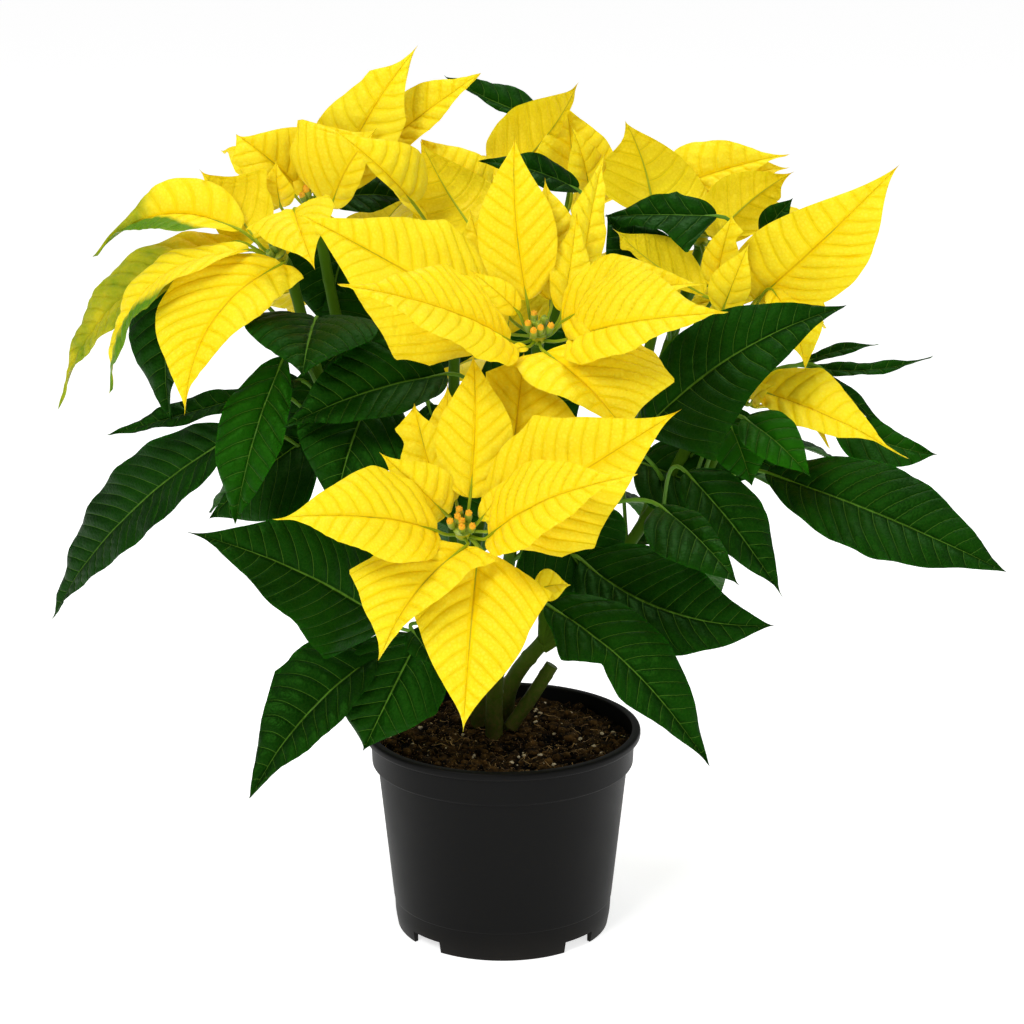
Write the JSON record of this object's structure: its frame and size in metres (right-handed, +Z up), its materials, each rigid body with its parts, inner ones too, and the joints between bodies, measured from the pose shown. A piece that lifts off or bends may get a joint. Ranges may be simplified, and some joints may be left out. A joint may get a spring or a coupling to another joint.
{
  "type": "potted poinsettia",
  "caption": "Bushy poinsettia with large pointed yellow bracts and dark green leaves, growing in soil in a tapered black nursery pot that stands on its foot.",
  "frame": {"origin": "on the surface that the pot stands on, under the pot's axis", "axes": "+Z up along the pot's axis, front of the plant towards -Y, +X to the right seen from the front"},
  "size_m": [0.5468, 0.3844, 0.5187],
  "materials": {
    "pot_plastic": "satin",
    "potting_soil": "matte",
    "green_leaf": "satin",
    "yellow_bract": "matte",
    "green_cup": "satin"
  },
  "bodies": {
    "root": {"pot": "pot_plastic", "soil": "potting_soil", "leafy_stem_front": "green_leaf", "leafy_stem_left": "green_leaf", "leafy_stem_right": "green_leaf", "bloom_A": "yellow_bract", "bloom_B": "yellow_bract", "bloom_C": "yellow_bract", "bloom_J": "yellow_bract", "bloom_E": "yellow_bract", "bloom_D": "yellow_bract", "bloom_F": "yellow_bract", "bloom_G": "yellow_bract", "bloom_H": "yellow_bract", "bloom_K": "yellow_bract", "bloom_L": "yellow_bract", "bloom_M": "yellow_bract", "cups_A": "green_cup", "cups_B": "green_cup", "cups_C": "green_cup", "cups_J": "green_cup", "cups_E": "green_cup", "cups_D": "green_cup", "cups_F": "green_cup", "cups_G": "green_cup", "cups_H": "green_cup", "cups_K": "green_cup", "cups_L": "green_cup", "cups_M": "green_cup"}
  },
  "joints": []
}
